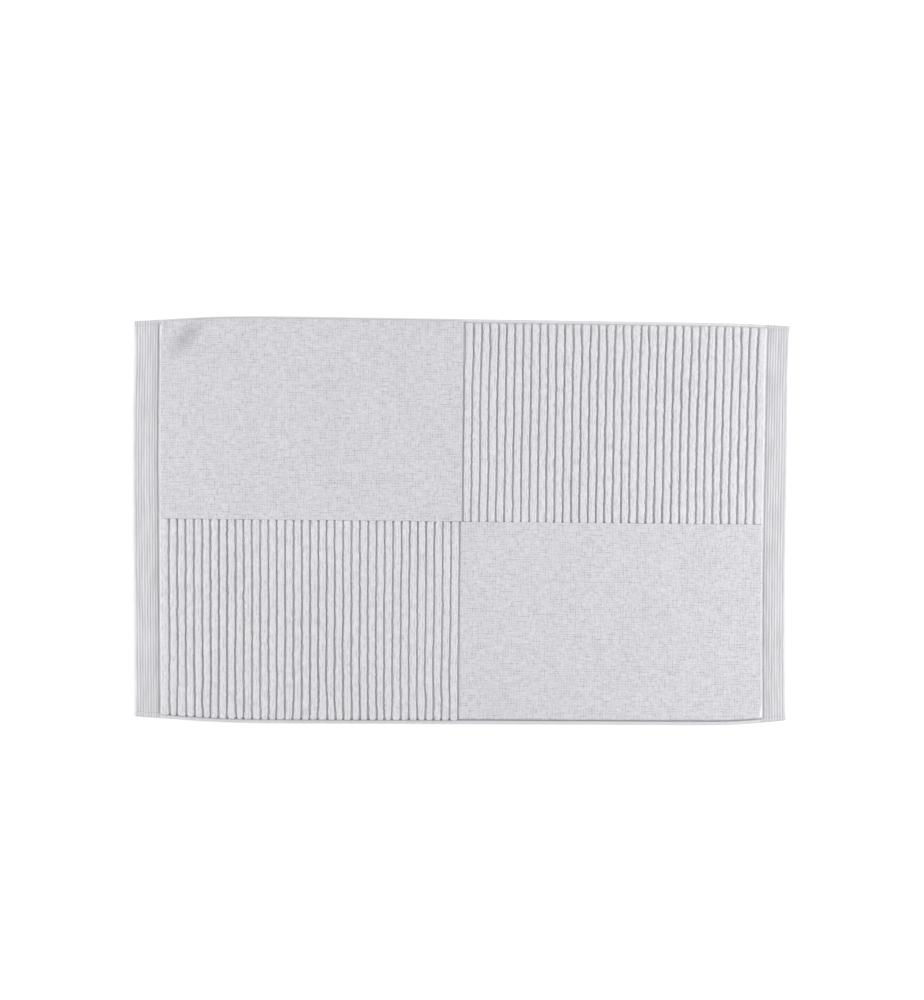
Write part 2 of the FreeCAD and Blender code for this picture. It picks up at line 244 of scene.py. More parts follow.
class LieSettings(PropertyGroup):
    row_fall: FloatProperty(
        name="Row Fall",
        description="How far the rows fall towards the right end, per length",
        default=0.0098,
    )
    row_fan: FloatProperty(
        name="Row Fan", description="How the fall grows towards the back, per metre", default=0.021
    )
    rib_lean: FloatProperty(
        name="Rib Lean", description="How far the ribs lean to the right, per length", default=0.010
    )
    rib_fan: FloatProperty(
        name="Rib Fan", description="How the lean grows towards the right end, per metre", default=0.0303
    )
    rib_bend: FloatProperty(
        name="Rib Bend", description="How the lean eases at both ends, per square metre", default=-0.0424
    )
    rib_bow: FloatProperty(
        name="Rib Bow",
        description="How the ribs right of the middle bow outward, per square metre",
        default=0.13,
    )
    ease: FloatVectorProperty(
        name="Ease",
        description="Length and width of the mat as it lies, next to its cut size",
        size=2,
        default=(1.0025, 0.995),
    )
    draw_in_left: FloatVectorProperty(
        name="Left Draw-in",
        description="How far the left border draws in at its front and back ends",
        size=2,
        default=(7.6 * MM, 8.5 * MM),
        unit="LENGTH",
    )
    draw_in_right: FloatVectorProperty(
        name="Right Draw-in",
        description="How far the right border draws in at its front and back ends",
        size=2,
        default=(6.0 * MM, 2.4 * MM),
        unit="LENGTH",
    )
    draw_in_reach: FloatVectorProperty(
        name="Draw-in Reach",
        description="How far from the left and the right end the draw-in is felt",
        size=2,
        default=(115 * MM, 62 * MM),
        unit="LENGTH",
    )
    corner_ease: FloatVectorProperty(
        name="Corner Ease",
        description="How far the back left and the back right corner shift to the right",
        size=2,
        default=(3.6 * MM, -2.4 * MM),
        unit="LENGTH",
    )
    wave_height: FloatProperty(
        name="Wave Height",
        description="Height of the soft waves in the pile",
        default=0.7 * MM,
        unit="LENGTH",
    )
    wave_length: FloatProperty(
        name="Wave Length", description="Length of the soft waves", default=70 * MM, unit="LENGTH"
    )
    dent_depth: FloatProperty(
        name="Dent Depth",
        description="Depth of the dent by the back left corner",
        default=3.0 * MM,
        unit="LENGTH",
    )


class FinishSettings(PropertyGroup):
    pile_colour: FloatVectorProperty(
        name="Pile",
        description="Colour of ribs",
        subtype="COLOR",
        size=3,
        default=(0.675, 0.67, 0.698),
    )
    # The smooth pile is the ribs' cotton painted about a tenth darker: painted shade.
    smooth_colour: FloatVectorProperty(
        name="Smooth",
        description="Colour of smooth pile",
        subtype="COLOR",
        size=3,
        default=(0.622, 0.615, 0.649),
    )
    cloth_colour: FloatVectorProperty(
        name="Cloth",
        description="Colour of the flat cloth",
        subtype="COLOR",
        size=3,
        default=(0.62, 0.615, 0.64),
    )
    # The ground cloth is painted lighter than the pile's own cotton: painted light on the floors of the
    # shaded grooves between ribs.
    ground_colour: FloatVectorProperty(
        name="Ground",
        description="Colour of the ground cloth",
        subtype="COLOR",
        size=3,
        default=(0.81, 0.805, 0.83),
    )
    border_colour: FloatVectorProperty(
        name="Border",
        description="Colour of the borders",
        subtype="COLOR",
        size=3,
        default=(0.59, 0.585, 0.61),
    )
    floor_colour: FloatVectorProperty(
        name="Floor",
        description="Colour of the floor",
        subtype="COLOR",
        size=3,
        default=(0.93, 0.93, 0.93),
    )


class StageSettings(PropertyGroup):
    lens: FloatProperty(name="Lens", description="Focal length", default=85.0, unit="CAMERA")
    view_height: FloatProperty(
        name="View Height", description="Height of the picture at the floor", default=1.231, unit="LENGTH"
    )
    aim: FloatVectorProperty(
        name="Aim",
        description="Where the camera looks on the floor",
        size=2,
        default=(2.8 * MM, 26.5 * MM),
        unit="LENGTH",
    )
    side_power: FloatVectorProperty(
        name="Side Lights",
        description="Power of the left and the right soft light",
        size=2,
        default=(23.6, 31.2),
        unit="POWER",
    )
    sky: FloatProperty(name="Sky", description="Strength of the even light from all around", default=0.63)


class BathMatSettings(PropertyGroup):
    pile: PointerProperty(type=PileSettings, name="Pile", description="Terry pile")
    edge: PointerProperty(type=EdgeSettings, name="Edges", description="Borders, hems and seams")
    lie: PointerProperty(type=LieSettings, name="Lie", description="How the mat lies on the floor")
    finish: PointerProperty(type=FinishSettings, name="Finish", description="Colours")
    stage: PointerProperty(type=StageSettings, name="Stage", description="Camera and lights")


# ------------------------------------------------------------------ formulas for cloth

NOISE_SIZE = 509


def smooth_step(t):
    """Rises from 0 to 1 as t does, level at both ends: three t squared less two t cubed."""
    t = np.clip(t, 0, 1)
    return t * t * (3 - 2 * t)


def noise(x, y, cell_x, cell_y, seed):
    """Even noise from -1 to 1: seeded random numbers on a lattice of cells, blended by a smooth step."""
    table = np.random.default_rng(seed).uniform(-1, 1, (NOISE_SIZE, NOISE_SIZE))
    along, across = x / cell_x, y / cell_y
    i, j = np.floor(along).astype(int), np.floor(across).astype(int)
    s, t = smooth_step(along - i), smooth_step(across - j)
    i, j, i_next, j_next = (k % NOISE_SIZE for k in (i, j, i + 1, j + 1))
    near = table[i, j] * (1 - s) + table[i_next, j] * s
    far = table[i, j_next] * (1 - s) + table[i_next, j_next] * s
    return near * (1 - t) + far * t


def hump(distance, reach):
    """A bell curve: one at no distance, falling as e to the minus of the squared share of the reach."""
    return np.exp(-((distance / reach) ** 2))


def line_at(place, pitch, width):
    """One on each of a row of lines a pitch apart, falling off as a bell curve to both sides."""
    return hump(place - np.round(place / pitch) * pitch, width)


def draw_in(x, y, lie):
    """How far the cloth is drawn in at x: full at each end of the mat and easing to none over the reach.

    The easing is a softened ramp, the logarithm of one plus a power of e. Front and back ends differ, so it
    is blended from one to the other by the share of the width.
    """
    back_share = (y / HALF_WIDTH + 1) / 2
    total = np.zeros_like(x)
    sides = (
        (MAT_LOW[0], lie.draw_in_left, lie.draw_in_reach[0]),
        (MAT_HIGH[0], lie.draw_in_right, lie.draw_in_reach[1]),
    )
    for end, amounts, reach in sides:
        nearness = 1 - np.abs(x - end) / reach
        eased = np.logaddexp(0, DRAW_IN_SOFTNESS * nearness) / np.logaddexp(0, DRAW_IN_SOFTNESS)
        total += eased * (amounts[0] * (1 - back_share) + amounts[1] * back_share)
    return total


def corner_shift(x, y, lie):
    """How far the cloth shifts to the right by a back corner: bell curves in x and y around each corner."""
    toward_back = hump(y - MAT_HIGH[1], CORNER_REACH[1])
    left = lie.corner_ease[0] * hump(x - MAT_LOW[0], CORNER_REACH[0])
    right = lie.corner_ease[1] * hump(x - MAT_HIGH[0], CORNER_REACH[0])
    return toward_back * (left + right)


def dent_axes(x, y):
    """Distances across and along the dent, which slants at 45 degrees."""
    across = ((x - DENT_PLACE[0]) - (y - DENT_PLACE[1])) / math.sqrt(2)
    along = ((x - DENT_PLACE[0]) + (y - DENT_PLACE[1])) / math.sqrt(2)
    return across, along


def painted_shade(flat):
    """The share of shade painted into the colour: over the dent's valley, and in the crease at the pile's
    foot by the front seam.

    The first is a bell curve across and along the dent's valley. The second is a bell curve across the seam
    that eases to nothing above the fold, and stays within the length of the pile.
    """
    x, y, z = flat.T
    across, along = dent_axes(x, y)
    # Painted shade over the dent's valley, darkening the colour where a shadow would fall.
    dent_shade = hump(across + 0.7 * DENT_WIDTH, 1.2 * DENT_WIDTH) * hump(along, 1.1 * DENT_LENGTH)
    low = smooth_step((FOLD_TOP + CREASE_FADE - z) / CREASE_FADE)
    beside_pile = (x > FIELD_LOW[0]) & (x < FIELD_HIGH[0])
    # Painted shade in the crease at the pile's foot along the front seam, which darkens the cloth and the
    # stitches there.
    crease = low * beside_pile * hump(y - FRONT_SEAM, CREASE_WIDTH)
    return PAINTED_DENT_SHADE * dent_shade + CREASE_SHADE * crease


def dent(x, y, depth):
    """A short slanting pucker: a wide valley, with a narrower ridge along its front right side."""
    across, along = dent_axes(x, y)
    valley = hump(across + 0.2 * DENT_WIDTH, DENT_WIDTH)
    valley -= 0.6 * hump(across - 1.2 * DENT_WIDTH, 0.7 * DENT_WIDTH)
    return -depth * valley * hump(along, DENT_LENGTH)


def lay(points, lie):
    """Takes points of the flat mat to where they lie on the floor.

    Rows fall to the right by an amount that grows with y, and ribs lean to the right by an amount that
    depends on x and bow outward on the right. The ends are drawn in, and the back corners shift sideways.
    The thickness swells and sinks in soft waves of two sizes, and dips in the dent, by a share that grows
    from none at the floor to all of it at the top of the pile.
    """
    x, y, z = points[..., 0], points[..., 1], points[..., 2]
    new_y = lie.ease[1] * y - x * (lie.row_fall + lie.row_fan * y) - draw_in(x, y, lie) * y / HALF_WIDTH
    new_x = lie.ease[0] * x + y * (lie.rib_lean + lie.rib_fan * x + lie.rib_bend * x * x)
    new_x = new_x + lie.rib_bow * np.clip(x, 0, None) * y * y + corner_shift(x, y, lie)
    wave = noise(x, y, 0.6 * lie.wave_length, 2 * lie.wave_length, seed=3)
    wave += 0.6 * noise(x, y, 0.35 * lie.wave_length, lie.wave_length, seed=4)
    rise = lie.wave_height * wave + dent(x, y, lie.dent_depth)
    return np.stack([new_x, new_y, z + rise * np.clip(z / PILE_TOP, 0, 1)], axis=-1)


def even_steps(outline, step):
    """Places along an outline of many close points, as evenly spaced points at most a step apart."""
    gaps = np.hypot(*np.diff(outline, axis=0).T)
    along = np.concatenate([[0], np.cumsum(gaps)])
    wanted = np.linspace(0, along[-1], int(np.ceil(along[-1] / step)) + 1)
    return np.column_stack([np.interp(wanted, along, column) for column in outline.T])


def shoulder(reach):
    """The rise of a pile's edge from its foot: a quarter of a superellipse, from the origin up and in."""
    turn = np.linspace(0, math.pi / 2, SHOULDER_POINTS)
    across = reach * (1 - np.cos(turn) ** (2 / SQUARENESS))
    return np.column_stack([across, PILE_HEIGHT * np.sin(turn) ** (2 / SQUARENESS)])


def pile_outline(length, near_reach, far_reach, step):
    """The outline over a strip of pile: up its near shoulder, level across, and down its far shoulder."""
    near = shoulder(near_reach)
    far = shoulder(far_reach)[::-1] * (-1, 1) + (length, 0)
    return even_steps(np.concatenate([near, far]), step)


def outward(points):
    """Unit normals of a grid of points, from the cross product of its two directions."""
    normal = np.cross(np.gradient(points, axis=-2), np.gradient(points, axis=-3))
    return normal / np.maximum(np.linalg.norm(normal, axis=-1, keepdims=True), 1e-12)


# ------------------------------------------------------------------ meshes


def grid_faces(rows, columns, wrap=False):
    """Four-cornered faces between neighbouring points of a grid, with its columns closed if it wraps."""
    steps = columns if wrap else columns - 1
    j, i = np.meshgrid(np.arange(rows - 1), np.arange(steps), indexing="ij")
    i_next = (i + 1) % columns
    faces = [j * columns + i, j * columns + i_next, (j + 1) * columns + i_next, (j + 1) * columns + i]
    return np.stack(faces, axis=-1).reshape(-1, 4)


def repeated(faces, copies, points_each):
    """The same faces for each of several like shapes whose points follow one another."""
    return (faces[None] + np.arange(copies)[:, None, None] * points_each).reshape(-1, faces.shape[-1])


def blanket_faces(copies, rows, columns):
    """Faces of closed strips: the grid over the top, and a flat underside between its two feet."""
    feet = np.arange(1, rows - 2) * columns
    under = np.stack([feet, feet + columns, feet + 2 * columns - 1, feet + columns - 1], axis=-1)
    first = np.concatenate([[columns, 2 * columns - 1], np.arange(columns)[::-1]])
    last = (rows - 1) * columns + np.arange(columns)
    last = np.concatenate([last, [(rows - 1) * columns - 1, (rows - 2) * columns]])
    each = rows * columns
    tops = repeated(grid_faces(rows, columns), copies, each)
    unders = repeated(under, copies, each)
    return [tops, unders, repeated(np.stack([first, last]), copies, each)]


def tube_faces(copies, rows, columns):
    """Faces of closed tubes: the wrapped grid, and a cap over each end."""
    ring = np.arange(columns)
    caps = np.stack([ring[::-1], (rows - 1) * columns + ring])
    each = rows * columns
    return [repeated(grid_faces(rows, columns, wrap=True), copies, each), repeated(caps, copies, each)]


def make_piece(name, flat, faces, material, nodes, context):
    """Lays the flat points on the floor as a mesh, and joins it to the frame.

    Each point keeps its flat place and its share of painted shade as attributes, for the materials.
    """
    flat = flat.reshape(-1, 3)
    laid = lay(flat, context.scene.bath_mat.lie)
    mesh = bpy.data.meshes.new(name)
    mesh.vertices.add(len(laid))
    mesh.vertices.foreach_set("co", laid.astype(np.float32).ravel())
    corners = np.concatenate([group.ravel() for group in faces])
    sizes = np.concatenate([np.full(len(group), group.shape[1]) for group in faces])
    mesh.loops.add(len(corners))
    mesh.loops.foreach_set("vertex_index", corners.astype(np.int32))
    mesh.polygons.add(len(sizes))
    mesh.polygons.foreach_set("loop_start", np.concatenate([[0], np.cumsum(sizes)[:-1]]).astype(np.int32))
    mesh.update(calc_edges=True)
    place = mesh.attributes.new("flat_place", "FLOAT_VECTOR", "POINT")
    place.data.foreach_set("vector", flat.astype(np.float32).ravel())
    # The share of painted shade, which the materials take off the colour.
    painted_darkening = mesh.attributes.new("painted_shade", "FLOAT", "POINT")
    painted_darkening.data.foreach_set("value", painted_shade(flat).astype(np.float32))
    mesh.shade_smooth()
    mesh.set_sharp_from_angle(angle=math.radians(65))
    mesh.materials.append(material)
    piece = bpy.data.objects.new(name, mesh)
    context.collection.objects.link(piece)
    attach(piece, BODY)
    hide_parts(*nodes)
    return piece


# ------------------------------------------------------------------ shader helpers


def add_node(tree, kind, sockets=None, **settings):
    """Adds a shader node, sets its properties, and feeds its sockets from values or other sockets."""
    node = tree.nodes.new(kind)
    for name, value in settings.items():
        setattr(node, name, value)
    for name, value in (sockets or {}).items():
        if isinstance(value, bpy.types.NodeSocket):
            tree.links.new(value, node.inputs[name])
        else:
            node.inputs[name].default_value = value
    return node


def maths(tree, operation, *values):
    """One Math node; returns its output."""
    return add_node(tree, "ShaderNodeMath", dict(enumerate(values)), operation=operation).outputs[0]


def remap(tree, value, low, high, to_low, to_high):
    """Takes a value from one range to another, without leaving the second."""
    sockets = {"Value": value, "From Min": low, "From Max": high, "To Min": to_low, "To Max": to_high}
    return add_node(tree, "ShaderNodeMapRange", sockets).outputs["Result"]


def scaled_noise(tree, place, scale, detail=2.0):
    """Noise on a place, with its own scale along each axis; returns its value output."""
    mapping = add_node(tree, "ShaderNodeMapping", {"Vector": place, "Scale": scale})
    sockets = {"Vector": mapping.outputs["Vector"], "Scale": 1.0, "Detail": detail, "Roughness": 0.55}
    return add_node(tree, "ShaderNodeTexNoise", sockets).outputs["Fac"]


def new_group(name, amounts, outputs=("Height", "Tone")):
    """A shader node group that reads a place and some amounts.

    Returns its tree, the sockets that give them, and the sockets that take its results.
    """
    tree = bpy.data.node_groups.new(name, "ShaderNodeTree")
    tree.interface.new_socket("Place", in_out="INPUT", socket_type="NodeSocketVector")
    for label in amounts:
        tree.interface.new_socket(label, in_out="INPUT", socket_type="NodeSocketFloat")
    for label in outputs:
        tree.interface.new_socket(label, in_out="OUTPUT", socket_type="NodeSocketFloat")
    return tree, tree.nodes.new("NodeGroupInput").outputs, tree.nodes.new("NodeGroupOutput").inputs


def streak_mask(tree, place, scale, axis, pitch):
    """Fine streaks: stretched noise past a level, strongest on evenly pitched lines across the axis."""
    fine = remap(tree, scaled_noise(tree, place, scale), 0.43, 0.63, 0.0, 1.0)
    across = add_node(tree, "ShaderNodeSeparateXYZ", {"Vector": place}).outputs[axis]
    swing = maths(tree, "COSINE", maths(tree, "MULTIPLY", across, 2 * math.pi / pitch))
    return maths(tree, "MULTIPLY", fine, remap(tree, swing, -0.4, 0.9, 0.25, 1.0))


def loop_pile_group():
    """Terry loops: rounded cells for the loops, with fine broken streaks along X and along Y sunk between
    them. Its tone is painted shade that follows the height: darker at the edges of the loops and along the
    sunk streaks.
    """
    tree, given, result = new_group("loop_pile", ("Loop Size", "Rows", "Wales"))
    scale = maths(tree, "DIVIDE", 1.0, given["Loop Size"])
    sockets = {"Vector": given["Place"], "Scale": scale, "Smoothness": 0.6, "Randomness": 1.0}
    cells = add_node(tree, "ShaderNodeTexVoronoi", sockets, feature="SMOOTH_F1")
    loops = remap(tree, cells.outputs["Distance"], 0.1, 0.75, 1.0, 0.0)
    rows = streak_mask(tree, given["Place"], (90, 620, 300), "Y", 3.07 * MM)
    wales = streak_mask(tree, given["Place"], (620, 100, 300), "X", 3.41 * MM)
    height = maths(tree, "MULTIPLY_ADD", maths(tree, "ADD", rows, wales), -0.5, loops)
    tree.links.new(height, result["Height"])
    # Painted shade: darker at the loops' edges, where they are low, and along the sunk streaks.
    tone = remap(tree, loops, 0.0, 1.0, 0.9, 1.04)
    for mask, amount in ((rows, given["Rows"]), (wales, given["Wales"])):
        tone = maths(tree, "SUBTRACT", tone, maths(tree, "MULTIPLY", mask, amount))
    tree.links.new(tone, result["Tone"])
    return tree


def plain_weave_group():
    """Plain weave: yarns that cross over and under, as the product of two sines, frayed by fine noise. Its
    tone is painted shade that follows the height: lighter where the yarns and their fuzz rise, darker where
    they dip.
    """
    tree, given, result = new_group("plain_weave", ("Yarn Width",))
    axes = add_node(tree, "ShaderNodeSeparateXYZ", {"Vector": given["Place"]}).outputs
    turns = maths(tree, "DIVIDE", math.pi, given["Yarn Width"])
    across = maths(tree, "SINE", maths(tree, "MULTIPLY", axes["X"], turns))
    along = maths(tree, "SINE", maths(tree, "MULTIPLY", axes["Y"], turns))
    crossing = remap(tree, maths(tree, "MULTIPLY", across, along), -1.0, 1.0, 0.0, 1.0)
    fray = scaled_noise(tree, given["Place"], (900, 900, 900))
    tree.links.new(maths(tree, "MULTIPLY_ADD", fray, 0.5, crossing), result["Height"])
    # Painted shade that follows the height: lighter where yarns cross over, darker where they dip.
    tone = maths(tree, "MULTIPLY_ADD", fray, 0.16, remap(tree, crossing, 0.0, 1.0, 0.88, 0.96))
    tree.links.new(tone, result["Tone"])
    return tree


def corded_weave_group():
    """A fine weave with painted shade in the lines between its cords, which are evenly pitched from the
    outer fold.
    """
    tree, given, result = new_group("corded_weave", ("Yarn Width", "Outer Fold", "Cord Pitch"))
    sockets = {"Place": given["Place"], "Yarn Width": given["Yarn Width"]}
    weave = group_node(tree, plain_weave_group, sockets)
    across = add_node(tree, "ShaderNodeSeparateXYZ", {"Vector": given["Place"]}).outputs["X"]
    inward = maths(tree, "SUBTRACT", given["Outer Fold"], maths(tree, "ABSOLUTE", across))
    turns = maths(tree, "MULTIPLY", maths(tree, "DIVIDE", inward, given["Cord Pitch"]), 2 * math.pi)
    # Painted shade: the colour darkens to about three quarters in the grooves between cords.
    lines = remap(tree, maths(tree, "COSINE", turns), -0.1, 1.0, 1.0, 0.74)
    uneven = remap(tree, scaled_noise(tree, given["Place"], (420, 24, 100)), 0.3, 0.7, 0.88, 1.09)
    tone = maths(tree, "MULTIPLY", maths(tree, "MULTIPLY", weave["Tone"], lines), uneven)
    tree.links.new(weave["Height"], result["Height"])
    tree.links.new(tone, result["Tone"])
    return tree


def hem_weave_group():
    """The weave of a side hem: plain along the pile, and corded where it is folded from an end border."""
    amounts = ("Yarn Width", "Outer Fold", "Cord Pitch", "Border Start")
    tree, given, result = new_group("hem_weave", amounts)
    sockets = {label: given[label] for label in ("Place", "Yarn Width", "Outer Fold", "Cord Pitch")}
    corded = group_node(tree, corded_weave_group, sockets)
    sockets = {label: given[label] for label in ("Place", "Yarn Width")}
    plain_cloth = group_node(tree, plain_weave_group, sockets)
    across = add_node(tree, "ShaderNodeSeparateXYZ", {"Vector": given["Place"]}).outputs["X"]
    beyond = maths(tree, "SUBTRACT", maths(tree, "ABSOLUTE", across), given["Border Start"])
    at_border = remap(tree, beyond, -0.5 * MM, 0.5 * MM, 0.0, 1.0)
    change = maths(tree, "SUBTRACT", maths(tree, "MULTIPLY", corded["Tone"], 0.95), plain_cloth["Tone"])
    tone = maths(tree, "MULTIPLY_ADD", change, at_border, plain_cloth["Tone"])
    tree.links.new(plain_cloth["Height"], result["Height"])
    tree.links.new(tone, result["Tone"])
    return tree


def soft_tone_group():
    """The uneven tone of washed cotton: broad, faint patches from low-frequency noise."""
    tree, given, result = new_group("soft_tone", ("Strength",), outputs=("Tone",))
    patches = remap(tree, scaled_noise(tree, given["Place"], (16, 7, 16)), 0.3, 0.7, -1.0, 1.0)
    tree.links.new(maths(tree, "MULTIPLY_ADD", patches, given["Strength"], 1.0), result["Tone"])
    return tree


def group_node(tree, builder, sockets):
    """A node of a shared group, which is built the first time it is asked for."""
    name = builder.__name__.removesuffix("_group")
    group = bpy.data.node_groups.get(name) or builder()
    return add_node(tree, "ShaderNodeGroup", sockets, node_tree=group).outputs


def cotton_material(name, colour, pattern, sockets, bump_height, unevenness=0.012):
    """A cotton surface with a soft sheen of fibres.

    Its pattern tones the colour and lifts the surface, and the share of painted shade darkens its colour.
    """
    material = bpy.data.materials.new(name)
    material.use_nodes = True
    tree = material.node_tree
    tree.nodes.clear()
    place = add_node(tree, "ShaderNodeAttribute", attribute_name="flat_place").outputs["Vector"]
    woven = group_node(tree, pattern, {"Place": place, **sockets})
    soft = group_node(tree, soft_tone_group, {"Place": place, "Strength": unevenness})
    # Painted shade: the colour is darkened by the share stored on each point, over the dent and along the
    # front seam's crease.
    painted_darkening = add_node(tree, "ShaderNodeAttribute", attribute_name="painted_shade").outputs["Fac"]
    shade = maths(tree, "SUBTRACT", 1.0, painted_darkening)
    tone = maths(tree, "MULTIPLY", maths(tree, "MULTIPLY", woven["Tone"], soft["Tone"]), shade)
    paint = add_node(tree, "ShaderNodeMix", data_type="RGBA", blend_type="MULTIPLY")
    paint.inputs[0].default_value = 1.0
    paint.inputs[6].default_value = (*colour, 1.0)
    tree.links.new(tone, paint.inputs[7])
    lift = {"Height": woven["Height"], "Strength": 0.6, "Distance": bump_height}
    bump = add_node(tree, "ShaderNodeBump", lift)
    surface = {
        "Base Color": paint.outputs[2],
        "Roughness": 0.95,
        "Specular IOR Level": 0.15,
        "Sheen Weight": 0.12,
        "Sheen Roughness": 0.6,
        "Normal": bump.outputs["Normal"],
    }
    shader = add_node(tree, "ShaderNodeBsdfPrincipled", surface)
    output = add_node(tree, "ShaderNodeOutputMaterial")
    tree.links.new(shader.outputs["BSDF"], output.inputs["Surface"])
    return material


def smooth_terry(settings):
    """Even loop pile with cross-hatched rows, in the ribs' cotton painted about a tenth darker as painted
    shade.
    """
    sockets = {"Loop Size": settings.pile.loop_size, "Rows": 0.19, "Wales": 0.17}
    colour = settings.finish.smooth_colour
    return cotton_material("smooth_terry", colour, loop_pile_group, sockets, 0.5 * MM)


def rib_terry(settings):
    """Denser loop pile with fainter rows and stronger wales."""
    sockets = {"Loop Size": settings.pile.loop_size * 0.8, "Rows": 0.03, "Wales": 0.24}
    colour = settings.finish.pile_colour
    return cotton_material("rib_terry", colour, loop_pile_group, sockets, 0.4 * MM)


def flat_cotton(settings):
    """Plain cloth of the side hems, with the borders' cords at both ends."""
    sockets = {
        "Yarn Width": 0.9 * MM,
        "Outer Fold": HALF_LENGTH,
        "Cord Pitch": settings.edge.cord_pitch,
        "Border Start": (FIELD_HIGH[0] - FIELD_LOW[0]) / 2,
    }
    colour = settings.finish.cloth_colour
    return cotton_material("flat_cotton", colour, hem_weave_group, sockets, 0.07 * MM)


def ground_cotton(settings):
    """Plain ground cloth under the pile, painted lighter than the pile's cotton as painted light on the
    shaded groove floors.
    """
    colour = settings.finish.ground_colour
    sockets = {"Yarn Width": 0.9 * MM}
    return cotton_material("ground_cotton", colour, plain_weave_group, sockets, 0.07 * MM)


def corded_cotton(settings):
    """Fine flat weave of the corded borders."""
    colour = settings.finish.border_colour
    pitch = settings.edge.cord_pitch
    sockets = {"Yarn Width": 0.6 * MM, "Outer Fold": HALF_LENGTH, "Cord Pitch": pitch}
    return cotton_material("corded_cotton", colour, corded_weave_group, sockets, 0.04 * MM)


def spun_cotton(settings):
    """Smooth spun thread, a little brighter than the cloth."""
    colour = settings.finish.pile_colour
    sockets = {"Yarn Width": 0.3 * MM}
    return cotton_material("spun_cotton", colour, plain_weave_group, sockets, 0.02 * MM)


def shared(builder, settings):
    """The material of that name, made the first time it is asked for."""
    return bpy.data.materials.get(builder.__name__) or builder(settings)


# ------------------------------------------------------------------ pile


def pile_step(settings):
    return settings.pile.mesh_step * 1


def rib_span(pile):
    """The length that the ribs of one block and their grooves share out evenly."""
    return RIBS_HIGH[0] - RIBS_LOW[0] + pile.groove_width


def smooth_relief(flat, pile):
    """How loops stand on smooth pile: loop noise, streaks both ways, and shallow lines on a faint grid."""
    x, y = flat[..., 0], flat[..., 1]
    loops = noise(x, y, pile.loop_size, pile.loop_size, seed=11)
    streaks = noise(x, y, 6 * pile.loop_size, 0.8 * pile.loop_size, seed=12)
    streaks = streaks + noise(x, y, 0.8 * pile.loop_size, 4 * pile.loop_size, seed=13)
    rib_pitch = rib_span(pile) / pile.rib_count
    row_strength = 0.5 + 0.5 * noise(x, y, 14 * MM, pile.row_pitch, seed=14)
    wale_strength = 0.5 + 0.5 * noise(x, y, rib_pitch, 18 * MM, seed=15)
    lines = row_strength * line_at(y, pile.row_pitch, LINE_WIDTH)
    lines = lines + 0.7 * wale_strength * line_at(x, rib_pitch, LINE_WIDTH)
    return pile.loop_relief * (0.7 * loops + 0.5 * streaks - 1.4 * lines)


def rib_relief(flat, pile):
    """How loops stand on a rib: loop noise and streaks along the rib.

    The height is added to the place across, so that the noise runs on down the sides.
    """
    x, y = flat[..., 0] + flat[..., 2], flat[..., 1]
    loops = noise(x, y, 0.9 * pile.loop_size, pile.loop_size, seed=21)
    streaks = noise(x, y, 0.7 * pile.loop_size, 5 * pile.loop_size, seed=22)
    return pile.loop_relief * (loops + 0.9 * streaks)


def stand_up(flat, relief):
    """Moves points outward by the relief, less near the foot of the pile."""
    planted = np.clip((flat[..., 2] - GROUND_TOP) / FOOT_HEIGHT, 0, 1)
    return flat + outward(flat) * (relief * planted)[..., None]


def turned(flat, turn_over, corner):
    """Places a block's own frame in the mat: as it is, or turned half round about the vertical."""
    sign = -1 if turn_over else 1
    return flat * (sign, sign, 1) + corner


def start_corner(node, turn_over):
    """Where a block's own frame starts: its front left corner, or its back right one when it is turned."""
    corner = node_box(node)[1 if turn_over else 0]
    return (corner[0], corner[1], 0)


def stations(length, near_reach, far_reach, step):
    """Places along a block and the share of its height at each, over a shoulder at both ends."""
    rise = pile_outline(length, near_reach, far_reach, step)
    return rise[:, 0], rise[:, 1] / PILE_HEIGHT


def smooth_block(overhang, turn_over, corner, pile, step):
    """Points of a smooth block.

    Its section is a level outline with rounded shoulders, and its height falls to nothing over the
    shoulders at both ends of its wales. The outer edge leans over the hem by the overhang, as a bell curve,
    and the corner by the border is rounded by the product of two more.
    """
    section = pile_outline(BLOCK_LENGTH, *SMOOTH_SHOULDERS, step)
    along, share = stations(BLOCK_WIDTH + MEETING_LAP, MEETING_REACH, SMOOTH_END, step)
    x = np.broadcast_to(section[:, 0], (len(along), len(section)))
    z = share[:, None] * section[:, 1]
    y = np.broadcast_to(along[:, None], x.shape) - MEETING_LAP
    to_edge = BLOCK_WIDTH - y
    lean = overhang * hump(to_edge, OVERHANG_WIDTH) * np.clip(z / PILE_HEIGHT, 0, 1)
    round_corner = CORNER_ROUND * hump(x, CORNER_SPREAD[0]) * hump(to_edge, CORNER_SPREAD[1])
    flat = turned(np.stack([x + round_corner, y + lean, z], axis=-1), turn_over, corner)
    flat[..., 2] += GROUND_TOP
    return stand_up(flat, smooth_relief(flat, pile))


def groove_lines(y, outer_end, first_extra, pile):
    """Middle of each groove at each place along it, evenly pitched and straying by noise.

    A stray has a part of its own and a part that neighbouring grooves share, and grows toward the hem.
    """
    pitch = (rib_span(pile) - first_extra) / pile.rib_count
    number = np.arange(pile.rib_count)[:, None]
    middle = first_extra + (number + 1) * pitch - pile.groove_width / 2
    own = noise(y, number + 0 * y, pile.wander_length, 1, seed=31)
    slow = noise(y, number + 0 * y, 3 * pile.wander_length, 4, seed=32)
    unrest = 1 + 2 * hump(y - outer_end, HEM_UNREST_REACH)
    return middle + pile.groove_wander * unrest * (0.8 * own + 0.9 * slow)


